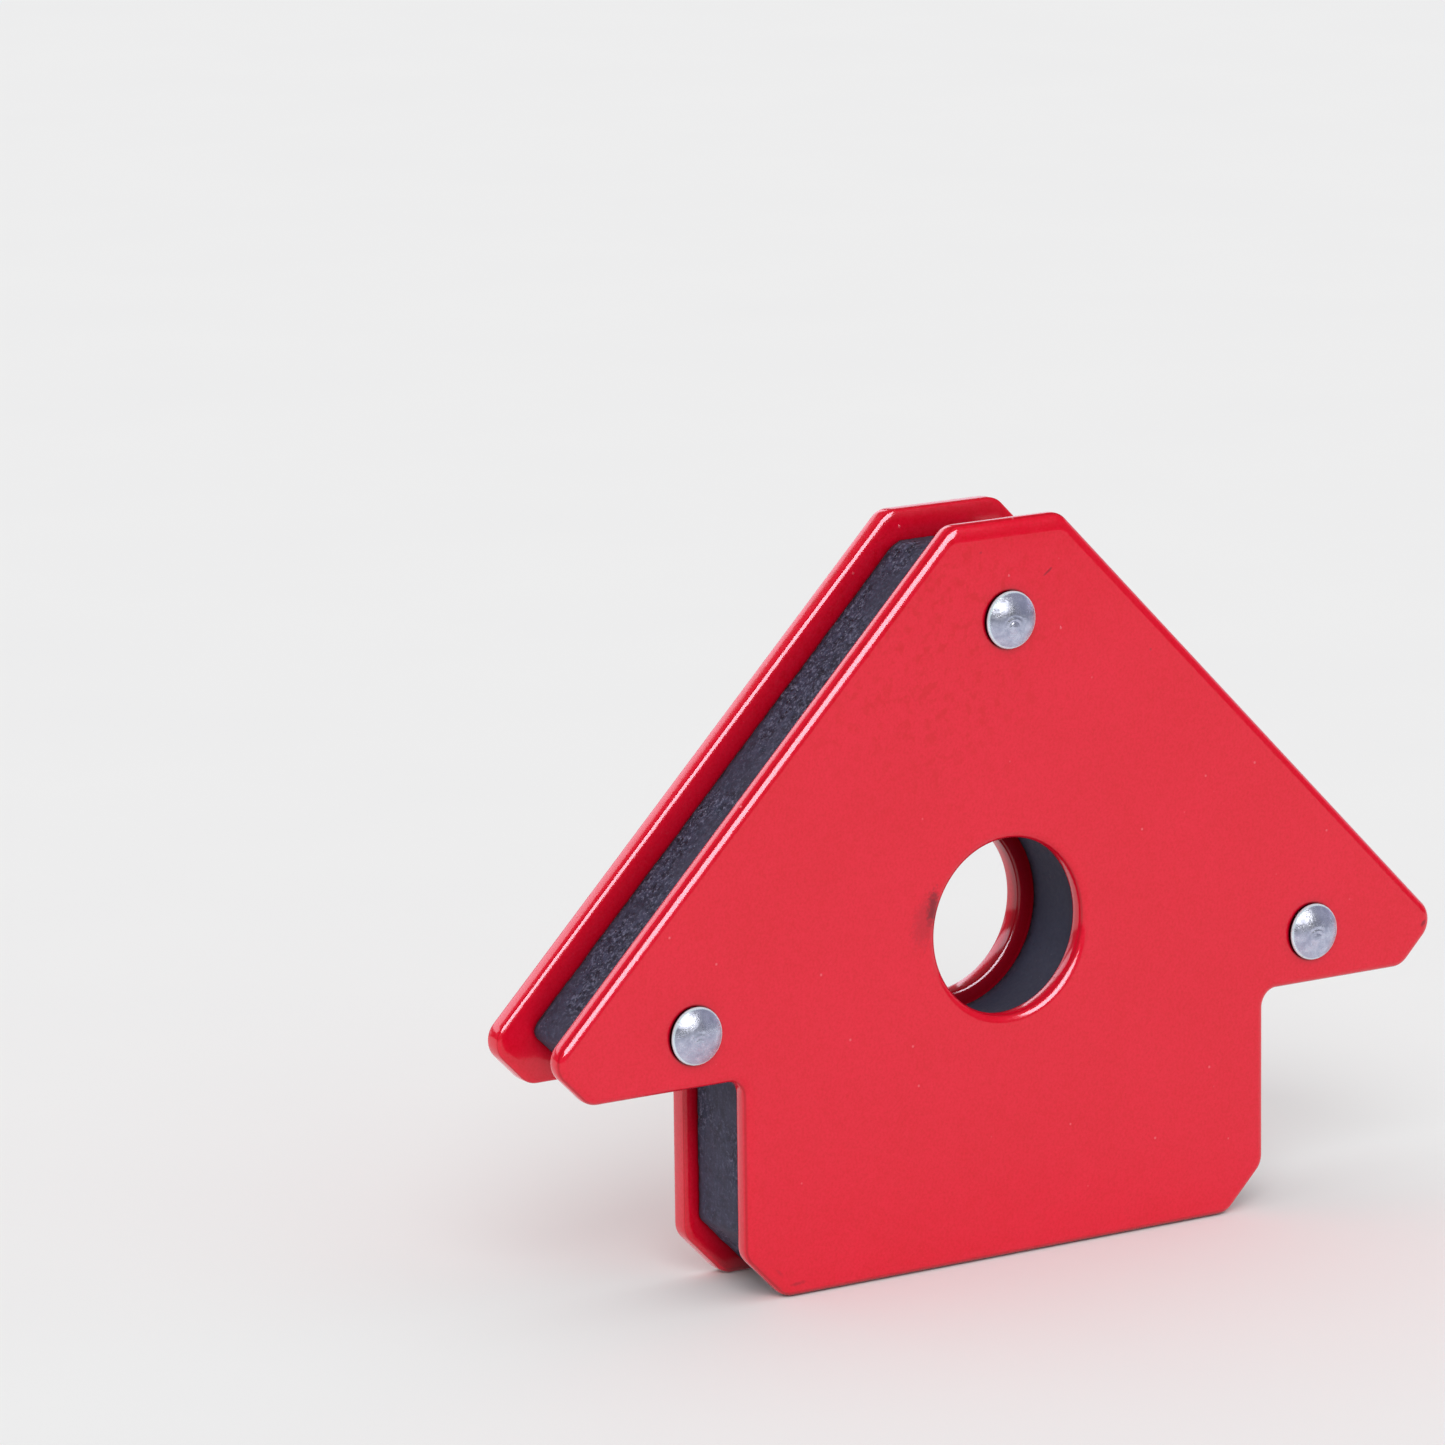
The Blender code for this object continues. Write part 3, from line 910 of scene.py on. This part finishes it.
def thinned_and_shaded(tree, body):
    """Paint that is darker along its rolled edges: painted shade, partly thin paint."""
    normal = add_node(tree, "ShaderNodeTexCoord").outputs["Normal"]
    upward = ramp(tree, part_of(tree, normal, "Z"), *FACING_UP, 0.0, PAINT_SHARE["shoulder"])
    return layered(tree, body, (
        (product(tree, edge_band(tree, normal, SHOULDER_BAND), upward), PAINT["shoulder"]),
        (product(tree, edge_band(tree, normal, STEEP_BAND), PAINT_SHARE["steep"]), PAINT["steep"]),
    ))


def red_powder_coat():
    """Glossy red paint with orange peel, nibs and wear."""
    material, tree, surface, place = new_material("red_powder_coat_finish")
    nibs = specks(tree, place, **PAINT_NIBS)
    dust = specks(tree, place, **PAINT_DUST)
    peel = noise_value(tree, place, **PAINT_NOISE["peel"])
    fine_peel = noise_value(tree, place, **PAINT_NOISE["fine_peel"])
    gloss = noise_value(tree, place, **PAINT_NOISE["gloss"])
    body = layered(tree, paint_tone(tree, place), (
        (product(tree, nibs, PAINT_SHARE["nib"]), PAINT["nib"]),
        (product(tree, dust, PAINT_SHARE["dust"]), PAINT["dust"]),
    ))
    body = thinned_and_shaded(tree, shaded_in_hollows(tree, place, scuffed(tree, place, body)))
    # Painted shadow along the foot, where the plates stand on the floor.
    foot = ramp(tree, part_of(tree, place, "Z"), *FOOT_SHADE, 0.0, PAINT_SHARE["foot_shade"])
    relief = bump(tree, peel, PAINT_RELIEF["peel"])
    relief = bump(tree, fine_peel, PAINT_RELIEF["fine_peel"], below=relief)
    connect(tree, surface, {
        "Base Color": mix_colour(tree, foot, body, PAINT["foot_shade"]),
        "Roughness": ramp(tree, gloss, *NOISE_SPAN, *PAINT_ROUGHNESS),
        "Normal": bump(tree, nibs, PAINT_RELIEF["nibs"], below=relief),
    })
    return material


def slate_filler():
    """Dark granular casting in smoother and rougher zones, with a smooth bore."""
    material, tree, surface, place = new_material("slate_filler_finish")
    zones = ramp(tree, noise_value(tree, place, **SLATE_NOISE["zones"]), *ZONE_SPAN)
    grain = noise_value(tree, place, **SLATE_NOISE["grain"])
    coarse = noise_value(tree, place, **SLATE_NOISE["coarse"])
    bore = ramp(tree, around(tree, place, (0.0, HOLE_HEIGHT)), *BORE_SIDE)
    outside = combine(tree, "SUBTRACT", 1.0, product(tree, bore, BORE_SMOOTHING))
    roughened = product(tree, outside, ramp(tree, zones, 0.0, 1.0, SMOOTH_ZONE_ROUGHNESS, 1.0))
    grit = product(tree, specks(tree, place, **SLATE_GRIT), roughened)
    pits = product(tree, specks(tree, place, **SLATE_PITS), roughened)
    depth = size_of(tree, part_of(tree, place, "Y"))
    border = combine(tree, "ADD", depth, ramp(tree, coarse, *NOISE_SPAN, *BORDER_WANDER))
    smooth = mix_colour(tree, ramp(tree, coarse, *NOISE_SPAN), *SLATE["smooth"])
    rough = mix_colour(tree, ramp(tree, coarse, *INNER_SPAN), *SLATE["rough"])
    body = layered(tree, mix_colour(tree, zones, smooth, rough), (
        (product(tree, ramp(tree, grain, *SLATE_GRAIN_SPAN), roughened), SLATE["grain"]),
        (product(tree, bore, SLATE_SHARE["bore"]), SLATE["bore"]),
        (product(tree, grit, SLATE_SHARE["grit"]), SLATE["grit"]),
        # Painted shade in the pits, beside the plates and in the hollows of the casting.
        (product(tree, pits, SLATE_SHARE["pit"]), SLATE["pit"]),
        (ramp(tree, border, *SLATE_BORDER, 0.0, SLATE_SHARE["border"]), SLATE["border"]),
        (crevices(tree, PORE_REACH, SLATE_SHARE["crevice"]), SLATE["crevice"]),
    ))
    relief = bump(tree, coarse, SLATE_RELIEF["coarse"], strength=roughened)
    relief = bump(tree, grain, SLATE_RELIEF["grain"], strength=roughened, below=relief)
    grit_and_pits = combine(tree, "SUBTRACT", grit, pits)
    connect(tree, surface, {
        "Base Color": body,
        "Specular IOR Level": SLATE_GLOSS,
        "Roughness": ramp(tree, grain, *NOISE_SPAN, *SLATE_ROUGHNESS),
        "Normal": bump(tree, grit_and_pits, SLATE_RELIEF["grit"], below=relief),
    })
    return material


def ferrite():
    material, tree, surface, place = new_material("ferrite_finish")
    grain = noise_value(tree, place, **FERRITE_NOISE["grain"])
    sheen = noise_value(tree, place, **FERRITE_NOISE["sheen"])
    connect(tree, surface, {
        "Base Color": mix_colour(tree, ramp(tree, grain, *FERRITE_GRAIN_SPAN), *FERRITE_TONES),
        "Roughness": ramp(tree, sheen, *NOISE_SPAN, *FERRITE_ROUGHNESS),
        "Normal": bump(tree, grain, FERRITE_RELIEF),
    })
    return material


def heads_with_painted_light(tree, place, body, axes):
    """Colour and metallic share of rivet heads, with a painted highlight on the rim and painted shade at
    the seat.
    """
    reach = around(tree, place, axes[0])
    for axis in axes[1:]:
        reach = combine(tree, "MINIMUM", reach, around(tree, place, axis))
    # Painted highlight on each head's rim, then painted shade at its seat.
    rim_highlight = ramp(tree, reach, *RIM_HIGHLIGHT, 0.0, RIM_HIGHLIGHT_SHARE)
    height = combine(tree, "SUBTRACT", size_of(tree, part_of(tree, place, "Y")), plate_face())
    body = layered(tree, body, (
        (rim_highlight, RIM_HIGHLIGHT_COLOUR),
        (ramp(tree, height, *SEAT_SHADE), SEAT_SHADE_COLOUR),
    ))
    return body, combine(tree, "SUBTRACT", 1.0, product(tree, rim_highlight, RIM_HIGHLIGHT_DULLING))


def aluminium(name, tones, roughness, frost_height, heads=()):
    """Bare aluminium with a frosted grain, faint stains and small dents, and painted highlight and shade on
    heads.
    """
    material, tree, surface, place = new_material(name)
    stains = noise_value(tree, place, **METAL_NOISE["stains"])
    frost = noise_value(tree, place, **METAL_NOISE["frost"])
    stained = ramp(tree, stains, *INNER_SPAN, 0.0, STAINS_AND_FROST[0])
    frosted = ramp(tree, frost, *INNER_SPAN, 0.0, STAINS_AND_FROST[1])
    body = mix_colour(tree, combine(tree, "ADD", stained, frosted), *tones)
    metallic = 1.0
    if heads:
        body, metallic = heads_with_painted_light(tree, place, body, heads)
    whole = combine(tree, "SUBTRACT", 1.0, specks(tree, place, **METAL_DENTS))
    relief = bump(tree, frost, frost_height, below=bump(tree, stains, METAL_RELIEF["stains"]))
    least, most = (roughness + change for change in STAINS_ROUGHNESS)
    connect(tree, surface, {
        "Base Color": body,
        "Metallic": metallic,
        "Roughness": ramp(tree, stains, *NOISE_SPAN, least, most),
        "Normal": bump(tree, whole, METAL_RELIEF["dents"], below=relief),
    })
    return material


def studio_floor():
    """Pale floor; in reflections it's painted dark in front, where a table would end, and glows behind as
    painted light.
    """
    material, tree, surface, place = new_material("studio_floor")
    pale = mix_colour(tree, noise_value(tree, place, **FLOOR_NOISE), *FLOOR_TONES)
    in_front = combine(tree, "LESS_THAN", part_of(tree, place, "Y"), 0.0)
    beyond = product(tree, ramp(tree, length_of(tree, place), *TABLE_REACH), in_front)
    reflected = add_node(tree, "ShaderNodeLightPath").outputs["Is Glossy Ray"]
    behind = combine(tree, "SUBTRACT", reflected, product(tree, reflected, in_front))
    connect(tree, surface, {
        "Base Color": mix_colour(tree, product(tree, beyond, reflected), pale, FLOOR_UNSEEN),
        "Emission Strength": product(tree, behind, FLOOR_GLOW_BEHIND),
        "Emission Color": (*FLOOR_GLOW, 1.0),
        "Roughness": FLOOR_ROUGHNESS,
        "Specular IOR Level": 0.0,
    })
    material.cycles.emission_sampling = "NONE"
    return material


# --- studio ---------------------------------------------------------------------------------

def direction(azimuth, elevation):
    """Unit vector from the holder, azimuth 0 in front of it and 90 towards +X, in degrees."""
    turn, lift = math.radians(azimuth), math.radians(elevation)
    return Vector((math.sin(turn) * math.cos(lift), -math.cos(turn) * math.cos(lift), math.sin(lift)))


def add_floor():
    bm = bmesh.new()
    bmesh.ops.create_circle(bm, cap_ends=True, radius=FLOOR_RADIUS, segments=FLOOR_STEPS)
    bmesh.ops.translate(bm, verts=bm.verts, vec=(0, 0, cad_low.z / MM - FLOOR_DROP))
    make_piece(bm, "studio_floor", studio_floor())


def add_light(name, kind, towards, distance):
    lamp = bpy.data.lights.new(name, kind)
    light = bpy.data.objects.new(name, lamp)
    light.location = Vector(PANEL_TARGET) * MM + towards * distance
    light.rotation_euler = towards.to_track_quat("Z", "Y").to_euler()
    light.visible_camera = False
    bpy.context.scene.collection.objects.link(light)
    return light


def add_key_light():
    """Broad, even key light that shapes the holder and its soft shadow, and isn't seen in reflections."""
    towards = direction(KEY_LIGHT["azimuth"], KEY_LIGHT["elevation"])
    light = add_light("key_light", "SUN", towards, PANEL_DISTANCE)
    light.data.energy = KEY_LIGHT["strength"]
    light.data.angle = math.radians(KEY_LIGHT["spread"])
    light.visible_glossy = False


def add_panel(name, azimuth, elevation, span, radiance, only=(), skips=(), tint=PANEL_TINT):
    """Glowing panel that is seen only in reflections, as wide and high as its span in degrees.

    It can shine on some pieces only, or skip some: rough surfaces spread the softbox's light too far, so
    it skips them, and the frosted rivets have a dimmer twin of it.
    """
    light = add_light(name, "AREA", direction(azimuth, elevation), PANEL_DISTANCE)
    width, height = (2 * PANEL_DISTANCE * math.tan(math.radians(angle / 2)) for angle in span)
    light.data.shape = "RECTANGLE"
    light.data.size = width
    light.data.size_y = height
    light.data.energy = radiance * math.pi * width * height
    light.data.color = tint
    light.visible_diffuse = False
    chosen = only or skips
    if not chosen:
        return
    group = bpy.data.collections.new(name + "_receivers")
    light.light_linking.receiver_collection = group
    for piece in bpy.context.scene.objects:
        if piece.name.startswith(chosen):
            group.objects.link(piece)
    for member in group.collection_objects:
        member.light_linking.link_state = "INCLUDE" if only else "EXCLUDE"


def add_room():
    """Pale even room light that looks dim in reflections, as a studio does away from its lamps."""
    world = bpy.data.worlds.new("studio_room")
    world.use_nodes = True
    tree = world.node_tree
    tree.nodes.clear()
    reflected = add_node(tree, "ShaderNodeLightPath").outputs["Is Glossy Ray"]
    strength = ramp(tree, reflected, 0.0, 1.0, ROOM_LIGHT, ROOM_IN_REFLECTIONS)
    glow = add_node(tree, "ShaderNodeBackground", {"Color": (1.0, 1.0, 1.0, 1.0), "Strength": strength})
    add_node(tree, "ShaderNodeOutputWorld", {"Surface": glow.outputs["Background"]})
    bpy.context.scene.world = world


def add_camera():
    lens = bpy.data.cameras.new("photo_view")
    lens.lens = CAMERA_LENS
    lens.sensor_width = SENSOR_WIDTH
    lens.clip_end = CAMERA_REACH
    camera = bpy.data.objects.new("photo_view", lens)
    towards = direction(CAMERA_AZIMUTH, CAMERA_ELEVATION)
    camera.location = (Vector(CAMERA_AIM) + towards * CAMERA_DISTANCE) * MM
    turn = Matrix.Rotation(math.radians(CAMERA_AZIMUTH), 3, "Z")
    tilt = Matrix.Rotation(math.radians(90 - CAMERA_ELEVATION), 3, "X")
    roll = Matrix.Rotation(math.radians(CAMERA_ROLL), 3, "Z")
    camera.rotation_euler = (turn @ tilt @ roll).to_euler()
    bpy.context.scene.collection.objects.link(camera)
    bpy.context.scene.camera = camera


def finish_holder():
    paint = red_powder_coat()
    heads = [rivet_axis(side) for side in RIVETS]
    bare = aluminium("rivet_aluminium_finish", **RIVET_METAL, heads=heads)
    painted_plate("front_pole_plate", "front_plate", paint)
    painted_plate("rear_pole_plate", "rear_plate", paint)
    cast_core(slate_filler())
    for side in RIVETS:
        turned_rivet("domed_rivet_" + side, side, bare)


def finish_hidden_parts():
    """Materials for the CAD nodes that stay: the magnets and the spacers."""
    finishes = {
        "magnet": (ferrite(), "ferrite"),
        "spacer": (aluminium("sleeve_aluminium_finish", **SLEEVE_METAL), "sleeve_aluminium"),
    }
    for node, piece in frame["nodes"].items():
        kind = node.split("_")[0]
        if kind in finishes:
            material, slot = finishes[kind]
            piece.data.materials.clear()
            piece.data.materials.append(material)


bpy.context.scene.view_settings.view_transform = "Standard"
add_camera()
add_room()
add_floor()
finish_holder()
finish_hidden_parts()
add_key_light()
for panel_name, placing in PANELS.items():
    add_panel(panel_name, **placing)
